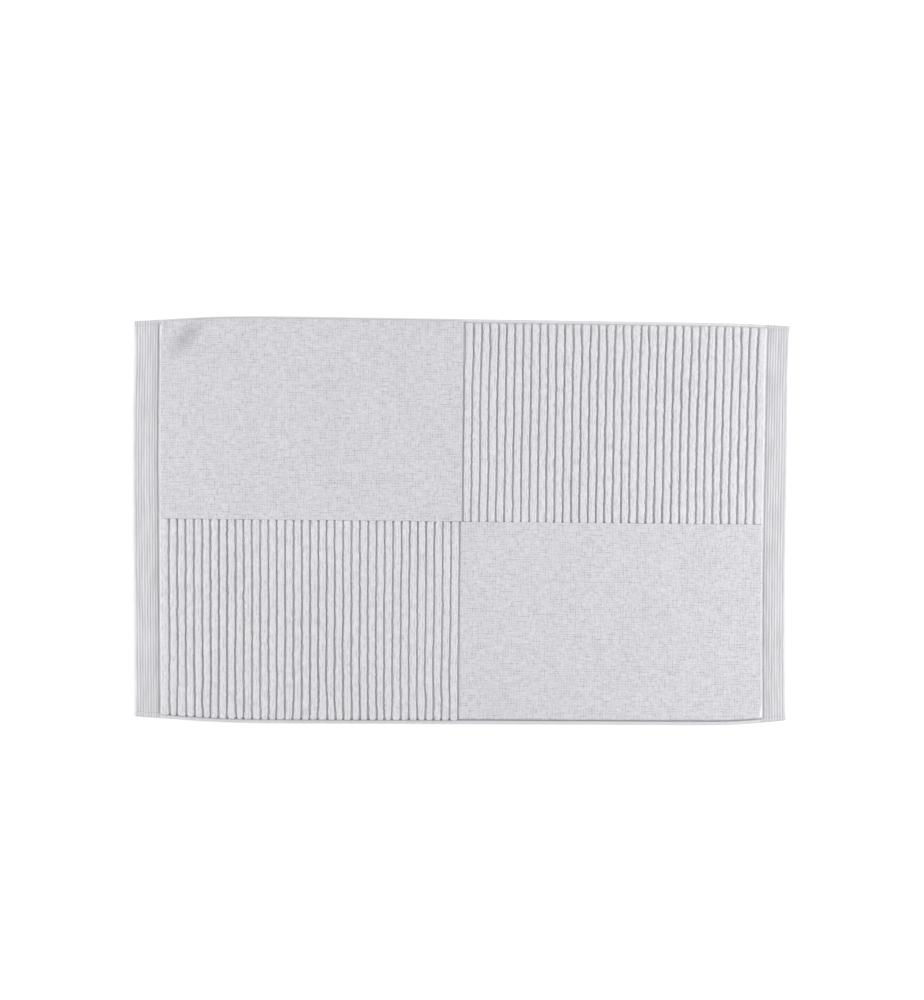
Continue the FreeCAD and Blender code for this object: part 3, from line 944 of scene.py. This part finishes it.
def rib_group(first, last, first_extra, turn_over, corner, pile, step):
    """Points of neighbouring ribs, numbered from the border inwards.

    Each rib is a rounded section, steeper on its left side, stretched between the grooves at its two sides
    and carried along Y. Grooves widen a little at both ends, and their sides fray by noise. A block that is
    turned over starts further along the noise, so that the two blocks differ.
    """
    width = rib_span(pile) / pile.rib_count - pile.groove_width
    near_reach, far_reach = RIB_SHOULDERS[::-1] if turn_over else RIB_SHOULDERS
    section = pile_outline(width, near_reach, far_reach, step)
    length = RIBS_HIGH[1] - RIBS_LOW[1]
    along, share = stations(length + MEETING_LAP, RIB_END, MEETING_REACH, step)
    place = along[None]
    start = TURNED_START if turn_over else 0
    grooves = groove_lines(place + start, start, first_extra, pile)
    number = np.arange(pile.rib_count)[:, None] + 0 * grooves
    half_gap = pile.groove_width / 2 * (1 + 0.15 * noise(place, number, 12 * MM, 1, seed=33))
    half_gap += 0.6 * MM * hump(place, 1.8 * MM)
    half_gap += 0.3 * MM * hump(length - place, 1.5 * MM)
    near_fray, far_fray = (FRAY * noise(place, number, FRAY_LENGTH, 1, seed=seed) for seed in (35, 36))
    outer = OUTER_WANDER * noise(place, grooves[:1], pile.wander_length, 1, seed=34)
    lefts = np.concatenate([outer, (grooves + half_gap + near_fray)[:-1]])[first:last]
    rights = (grooves - half_gap + far_fray)[first:last]
    x = lefts[..., None] + (rights - lefts)[..., None] * section[:, 0] / width
    z = np.broadcast_to(share[:, None] * section[:, 1], x.shape)
    lean = RIB_OVERHANG * hump(along[:, None], RIB_OVERHANG_WIDTH) * np.clip(z / PILE_HEIGHT, 0, 1)
    flat = turned(np.stack([x, along[:, None] - lean, z], axis=-1), turn_over, corner)
    flat[..., 2] += GROUND_TOP
    return stand_up(flat, rib_relief(flat, pile))


class BATH_MAT_OT_smooth_pile(Operator):
    """Make the two smooth blocks of pile"""

    bl_idname = "bath_mat.smooth_pile"
    bl_label = "Smooth Pile"

    def execute(self, context):
        settings = context.scene.bath_mat
        material = shared(smooth_terry, settings)
        step = SMOOTH_STEP_SHARE * pile_step(settings)
        for place, turn_over in (("back_left", False), ("front_right", True)):
            node = f"smooth_pile_{place}"
            corner = start_corner(node, turn_over)
            points = smooth_block(OVERHANGS[place], turn_over, corner, settings.pile, step)
            faces = blanket_faces(1, *points.shape[:2])
            make_piece(f"smooth_terry_{place}", points, faces, material, [node], context)
        return {"FINISHED"}


class BATH_MAT_OT_rib_pile(Operator):
    """Make the two ribbed blocks of pile, each in two groups of ribs side by side"""

    bl_idname = "bath_mat.rib_pile"
    bl_label = "Rib Pile"

    def execute(self, context):
        settings = context.scene.bath_mat
        pile = settings.pile
        material = shared(rib_terry, settings)
        half = pile.rib_count // 2
        groups = (("border_ribs", 0, half), ("middle_ribs", half, pile.rib_count))
        blocks = zip(("front_left", "back_right"), (False, True), pile.first_rib_extra)
        for place, turn_over, first_extra in blocks:
            node = f"rib_pile_{place}"
            corner = start_corner(node, turn_over)
            for group, first, last in groups:
                points = rib_group(first, last, first_extra, turn_over, corner, pile, pile_step(settings))
                faces = blanket_faces(*points.shape[:3])
                name = f"rib_terry_{place}_{group}"
                make_piece(name, points, faces, material, [node], context)
        return {"FINISHED"}


# ------------------------------------------------------------------ ground and reverse


def slab(low, high, step):
    """Points and faces of a closed flat sheet: one grid above, one below, joined round the rim."""
    columns = int(np.ceil((high[0] - low[0]) / step)) + 1
    rows = int(np.ceil((high[1] - low[1]) / step)) + 1
    x, y = np.meshgrid(np.linspace(low[0], high[0], columns), np.linspace(low[1], high[1], rows))
    top = np.stack([x, y, np.full_like(x, high[2])], axis=-1)
    bottom = np.stack([x, y, np.full_like(x, low[2])], axis=-1)
    count = rows * columns
    upper = grid_faces(rows, columns)
    numbers = np.arange(count).reshape(rows, columns)
    rim = np.concatenate([numbers[0, :-1], numbers[:-1, -1], numbers[-1, :0:-1], numbers[:0:-1, 0]])
    rim_next = np.roll(rim, -1)
    wall = np.stack([rim, rim + count, rim_next + count, rim_next], axis=-1)
    return top, bottom, [upper, upper[:, ::-1] + count, wall]


class BATH_MAT_OT_ground_cloth(Operator):
    """Make the ground cloth, a thin closed sheet under the pile"""

    bl_idname = "bath_mat.ground_cloth"
    bl_label = "Ground Cloth"

    def execute(self, context):
        settings = context.scene.bath_mat
        top, bottom, faces = slab(FIELD_LOW, FIELD_HIGH, GROUND_STEP)
        points = np.concatenate([top, bottom])
        material = shared(ground_cotton, settings)
        nodes = ["ground_cloth"]
        piece = make_piece("ground_sheet", points, faces, material, nodes, context)
        return {"FINISHED"}


class BATH_MAT_OT_reverse_pile(Operator):
    """Make the low pile on the underside, with uneven loops in faint rows"""

    bl_idname = "bath_mat.reverse_pile"
    bl_label = "Reverse Pile"

    def execute(self, context):
        settings = context.scene.bath_mat
        low, high = node_box("reverse_pile")
        top, bottom, faces = slab(low, high, REVERSE_STEP)
        cell = 1.3 * REVERSE_STEP
        loops = noise(bottom[..., 0], bottom[..., 1], cell, cell, seed=41)
        rows = line_at(bottom[..., 1], 3 * REVERSE_STEP, REVERSE_STEP)
        bottom[..., 2] += REVERSE_LIFT
        bottom[1:-1, 1:-1, 2] += (REVERSE_LOOPS * (loops + 1) + REVERSE_ROWS * rows)[1:-1, 1:-1]
        points = np.concatenate([top, bottom])
        material = shared(smooth_terry, settings)
        make_piece("reverse_terry", points, faces, material, ["reverse_pile"], context)
        return {"FINISHED"}


# ------------------------------------------------------------------ folded edges


def edge_rows(edge):
    """The end borders and the side hems.

    A row is a side, its quarter turns, its place, its width, half its run, and the pull of its seam.
    """
    left_pull, right_pull, hem_pull = edge.seam_pull
    run = (FIELD_HIGH[1] - FIELD_LOW[1]) / 2
    hem = FIELD_LOW[1] - MAT_LOW[1]
    borders = (
        ("left", 0, (MAT_LOW[0], 0), FIELD_LOW[0] - MAT_LOW[0], run, left_pull),
        ("right", 2, (MAT_HIGH[0], 0), MAT_HIGH[0] - FIELD_HIGH[0], run, right_pull),
    )
    hems = (
        ("front", 1, (0, MAT_LOW[1]), hem, HALF_LENGTH, hem_pull),
        ("back", 3, (0, MAT_HIGH[1]), hem, HALF_LENGTH, hem_pull),
    )
    return borders, hems


def fold_line(width, step):
    """The middle line of a cloth folded twice, as (inward, up) points in metres.

    It runs out along the top, round the outer fold, back along the floor, round the inner fold, and out
    again between the two.
    """
    nose = FOLD_TOP / 2
    big, small = nose - CLOTH / 2, CLOTH / 2
    turn = np.linspace(math.pi / 2, 3 * math.pi / 2, 2 * BEND_POINTS)
    outer = np.column_stack([nose + big * np.cos(turn), nose + big * np.sin(turn)])
    inner_turn = np.linspace(-math.pi / 2, math.pi / 2, BEND_POINTS)
    inner_x = width - small
    inner = np.column_stack([inner_x + small * np.cos(inner_turn), CLOTH + small * np.sin(inner_turn)])
    top_start = [(width, FOLD_TOP - CLOTH / 2)]
    tuck_end = [(nose + CLOTH, nose)]
    return even_steps(np.concatenate([top_start, outer, inner, tuck_end]), step)


def folded_cloth(width, half_run, step, relief):
    """Points of a folded cloth in its own frame (inward, along, up), with its faces and its cut width.

    The middle line gains half the cloth's thickness to each side, and the ring that this makes is carried
    along the edge. The relief moves the ring's outer side along its normals.
    """
    line = fold_line(width, FOLD_STEP)
    tangent = np.gradient(line, axis=0)
    tangent /= np.linalg.norm(tangent, axis=1, keepdims=True)
    normal = np.column_stack([tangent[:, 1], -tangent[:, 0]])
    along = np.linspace(-half_run, half_run, int(np.ceil(2 * half_run / step)) + 1)
    lift = HALF_CLOTH + relief(line, along[:, None])
    out = line + normal * lift[..., None]
    inside = np.broadcast_to(line - normal * HALF_CLOTH, out.shape)
    ring = np.concatenate([out, inside[:, ::-1]], axis=1)
    y = np.broadcast_to(along[:, None], ring.shape[:2])
    points = np.stack([ring[..., 0], y, ring[..., 1]], axis=-1)
    columns = ring.shape[1]
    pairs = np.arange(len(line) - 1)
    cap = np.stack([pairs, pairs + 1, columns - 2 - pairs, columns - 1 - pairs], axis=-1)
    last = (len(along) - 1) * columns
    faces = [grid_faces(len(along), columns, wrap=True)[:, ::-1], cap, cap[:, ::-1] + last]
    cut = np.hypot(*np.diff(line, axis=0).T).sum()
    return points, faces, cut


def edge_place(points, turn, place):
    """Turns an edge's own frame (inward, along, up) by quarter turns about Z and moves it to the edge."""
    cos, sin = round(math.cos(turn * math.pi / 2)), round(math.sin(turn * math.pi / 2))
    x, y, z = points[..., 0], points[..., 1], points[..., 2]
    return np.stack([cos * x - sin * y + place[0], sin * x + cos * y + place[1], z], axis=-1)


def on_top(line):
    """One on the top leg of a fold, easing to nothing round the outer fold and under the mat."""
    shown = smooth_step((line[:, 1] - FOLD_TOP / 2) / (0.3 * FOLD_TOP))
    first_leg = np.arange(len(line)) < np.argmin(line[:, 0])
    return shown * first_leg


def seam_dip(line, along, width, pull, edge):
    """The dip that a seam draws into the top of a fold, deepest where the needle goes through."""
    inward = np.abs(line[:, 0] - (width - SEAM_INSET))
    holes = line_at(along, edge.stitch_pitch, HOLE_WIDTH)
    return pull * (hump(inward, SEAM_WIDTH) + HOLE_SHARE * holes * hump(inward, HOLE_WIDTH))


def border_relief(width, pull, edge):
    """Cords along a border, and the dip along its seam.

    The cords are a sine's size to a power, which makes rounded ridges between narrow lines. They start a
    little in from the outer fold.
    """

    def relief(line, along):
        phase = line[:, 0] / edge.cord_pitch
        ridges = np.abs(np.sin(math.pi * phase)) ** 0.6 - 1
        past_fold = smooth_step((line[:, 0] - 1.2 * MM) / (1.5 * MM))
        uneven = BORDER_UNEVENNESS * noise(line[:, 0] + 0 * along, along, 1.1 * MM, 6 * MM, seed=51)
        cords = edge.cord_relief * ridges * past_fold + uneven
        return on_top(line) * (cords - seam_dip(line, along, width, pull, edge))

    return relief


def hem_relief(width, pull, edge):
    """A hem's soft unevenness along its fold, and the dip along its seam."""

    def relief(line, along):
        puckers = HEM_PUCKER * noise(line[:, 0] + 0 * along, along, 3 * MM, 2.2 * MM, seed=52)
        return on_top(line) * (puckers - seam_dip(line, along, width, pull, edge))

    return relief


class BATH_MAT_OT_border_bands(Operator):
    """Make the two corded end borders, each one sheet folded twice"""

    bl_idname = "bath_mat.border_bands"
    bl_label = "Border Bands"

    def execute(self, context):
        edge = context.scene.bath_mat.edge
        material = shared(corded_cotton, context.scene.bath_mat)
        borders, _ = edge_rows(edge)
        for side, turn, place, width, run, pull in borders:
            relief = border_relief(width, pull, edge)
            points, faces, cut = folded_cloth(width, run, BORDER_STEP, relief)
            name = f"{side}_border_sheet"
            nodes = [f"{side}_border_band", f"{side}_border_band_turn_in"]
            points = edge_place(points, turn, place)
            piece = make_piece(name, points, faces, material, nodes, context)
        return {"FINISHED"}


class BATH_MAT_OT_side_hems(Operator):
    """Make the two narrow hems along the long sides, each one sheet folded twice"""

    bl_idname = "bath_mat.side_hems"
    bl_label = "Side Hems"

    def execute(self, context):
        edge = context.scene.bath_mat.edge
        material = shared(flat_cotton, context.scene.bath_mat)
        _, hems = edge_rows(edge)
        for side, turn, place, width, run, pull in hems:
            relief = hem_relief(width, pull, edge)
            points, faces, cut = folded_cloth(width, run, HEM_STEP, relief)
            name = f"{side}_hem_sheet"
            nodes = [f"{side}_side_hem", f"{side}_side_hem_turn_in"]
            points = edge_place(points, turn, place)
            piece = make_piece(name, points, faces, material, nodes, context)
        return {"FINISHED"}


# ------------------------------------------------------------------ seams


def stitch_row(width, run, height, arch, edge):
    """Points of a row of stitches in an edge's own frame (inward, along, up).

    Each stitch is a tube whose radius falls off with the fourth power of the place along it, and whose ends
    dip into the cloth by the arch in the same way.
    """
    count = int((2 * run - edge.stitch_length) / edge.stitch_pitch + 1)
    starts = (np.arange(count) - (count - 1) / 2) * edge.stitch_pitch
    share = np.linspace(-1, 1, STITCH_RINGS)
    radius = STITCH_RADIUS * np.sqrt(1 - 0.9 * share**4)
    turn = np.linspace(0, 2 * math.pi, STITCH_SIDES, endpoint=False)
    along = starts[:, None, None] + share[:, None] * edge.stitch_length / 2 + 0 * turn
    inward = width - SEAM_INSET + radius[:, None] * np.cos(turn) + 0 * along
    up = height + radius[:, None] * np.sin(turn) - arch * (share**4)[:, None] + 0 * along
    return np.stack([inward, along, up], axis=-1)


class BATH_MAT_OT_seams(Operator):
    """Make the needle and bobbin threads of the four seams"""

    bl_idname = "bath_mat.seams"
    bl_label = "Seams"

    def execute(self, context):
        edge = context.scene.bath_mat.edge
        material = shared(spun_cotton, context.scene.bath_mat)
        borders, hems = edge_rows(edge)
        rows = [("border_band", row) for row in borders] + [("side_hem", row) for row in hems]
        for kind, (side, turn, place, width, run, pull) in rows:
            needle_height = FOLD_TOP - pull + NEEDLE_LIFT
            threads = (("needle", needle_height, NEEDLE_ARCH), ("bobbin", BOBBIN_HEIGHT, BOBBIN_ARCH))
            for thread, height, arch in threads:
                points = stitch_row(width, run, height, arch, edge)
                faces = tube_faces(*points.shape[:3])
                node = f"{side}_{kind}_{thread}_thread"
                name = f"{node}_stitches"
                points = edge_place(points, turn, place)
                make_piece(name, points, faces, material, [node], context)
        return {"FINISHED"}


# ------------------------------------------------------------------ stage


def add_soft_light(name, place, power, context):
    """A square soft light that faces the middle of the mat."""
    light = bpy.data.lights.new(name, "AREA")
    light.shape = "SQUARE"
    light.size = LIGHT_SIZE
    light.energy = power
    lamp = bpy.data.objects.new(name, light)
    lamp.location = place
    lamp.rotation_euler = (-lamp.location).to_track_quat("-Z", "Y").to_euler()
    lamp.visible_camera = False
    context.collection.objects.link(lamp)


def floor_material(settings):
    """A plain pale floor, matt all over."""
    material = bpy.data.materials.new("floor")
    material.use_nodes = True
    shader = material.node_tree.nodes["Principled BSDF"]
    shader.inputs["Base Color"].default_value = (*settings.finish.floor_colour, 1.0)
    shader.inputs["Roughness"].default_value = 0.9
    shader.inputs["Specular IOR Level"].default_value = 0.1
    return material


class BATH_MAT_OT_stage(Operator):
    """Make the floor, the soft lights and the camera that looks straight down"""

    bl_idname = "bath_mat.stage"
    bl_label = "Stage"

    def execute(self, context):
        settings = context.scene.bath_mat
        stage = settings.stage
        mesh = bpy.data.meshes.new("floor")
        signs = ((-1, -1), (1, -1), (1, 1), (-1, 1))
        corners = [(x * FLOOR_REACH, y * FLOOR_REACH, 0) for x, y in signs]
        mesh.from_pydata(corners, [], [(0, 1, 2, 3)])
        mesh.materials.append(floor_material(settings))
        floor = bpy.data.objects.new("floor", mesh)
        context.collection.objects.link(floor)

        left, right = stage.side_power
        add_soft_light("left_softbox", LEFT_LIGHT, left, context)
        add_soft_light("right_softbox", RIGHT_LIGHT, right, context)

        world = bpy.data.worlds.new("studio")
        world.use_nodes = True
        background = world.node_tree.nodes["Background"].inputs
        background["Color"].default_value = (1, 1, 1, 1)
        background["Strength"].default_value = stage.sky
        context.scene.world = world
        context.scene.view_settings.view_transform = "Standard"

        camera = bpy.data.cameras.new("camera")
        camera.lens = stage.lens
        camera.sensor_width = 36.0
        camera.clip_end = 100.0
        holder = bpy.data.objects.new("camera", camera)
        distance = stage.view_height * camera.lens / camera.sensor_width
        holder.location = (stage.aim[0], stage.aim[1], distance)
        context.collection.objects.link(holder)
        context.scene.camera = holder
        return {"FINISHED"}


# ------------------------------------------------------------------ panel and registration


class VIEW3D_PT_bath_mat(Panel):
    """The bath mat's settings and the buttons that make its pieces"""

    bl_label = "Bath Mat"
    bl_space_type = "VIEW_3D"
    bl_region_type = "UI"
    bl_category = "Bath Mat"

    def draw(self, context):
        settings = context.scene.bath_mat
        for name in SETTING_GROUPS:
            group = getattr(settings, name)
            box = self.layout.box()
            box.label(text=name.title())
            for prop in group.bl_rna.properties:
                if prop.identifier not in ("rna_type", "name"):
                    box.prop(group, prop.identifier)
        for operator in OPERATORS:
            self.layout.operator(operator.bl_idname)


SETTING_GROUPS = ("pile", "edge", "lie", "finish", "stage")
OPERATORS = (
    BATH_MAT_OT_stage,
    BATH_MAT_OT_ground_cloth,
    BATH_MAT_OT_reverse_pile,
    BATH_MAT_OT_smooth_pile,
    BATH_MAT_OT_rib_pile,
    BATH_MAT_OT_border_bands,
    BATH_MAT_OT_side_hems,
    BATH_MAT_OT_seams,
)
SETTINGS = (PileSettings, EdgeSettings, LieSettings, FinishSettings, StageSettings, BathMatSettings)


def register():
    """Adds the classes and the scene's settings to Blender."""
    for cls in (*SETTINGS, *OPERATORS, VIEW3D_PT_bath_mat):
        register_class(cls)
    bpy.types.Scene.bath_mat = PointerProperty(type=BathMatSettings)


def unregister():
    """Takes them out again."""
    del bpy.types.Scene.bath_mat
    for cls in reversed((*SETTINGS, *OPERATORS, VIEW3D_PT_bath_mat)):
        unregister_class(cls)


def main():
    """Makes the mat piece by piece."""
    register()
    bpy.ops.bath_mat.stage()
    bpy.ops.bath_mat.ground_cloth()
    bpy.ops.bath_mat.reverse_pile()
    bpy.ops.bath_mat.smooth_pile()
    bpy.ops.bath_mat.rib_pile()
    bpy.ops.bath_mat.border_bands()
    bpy.ops.bath_mat.side_hems()
    bpy.ops.bath_mat.seams()


if __name__ == "__main__":
    main()
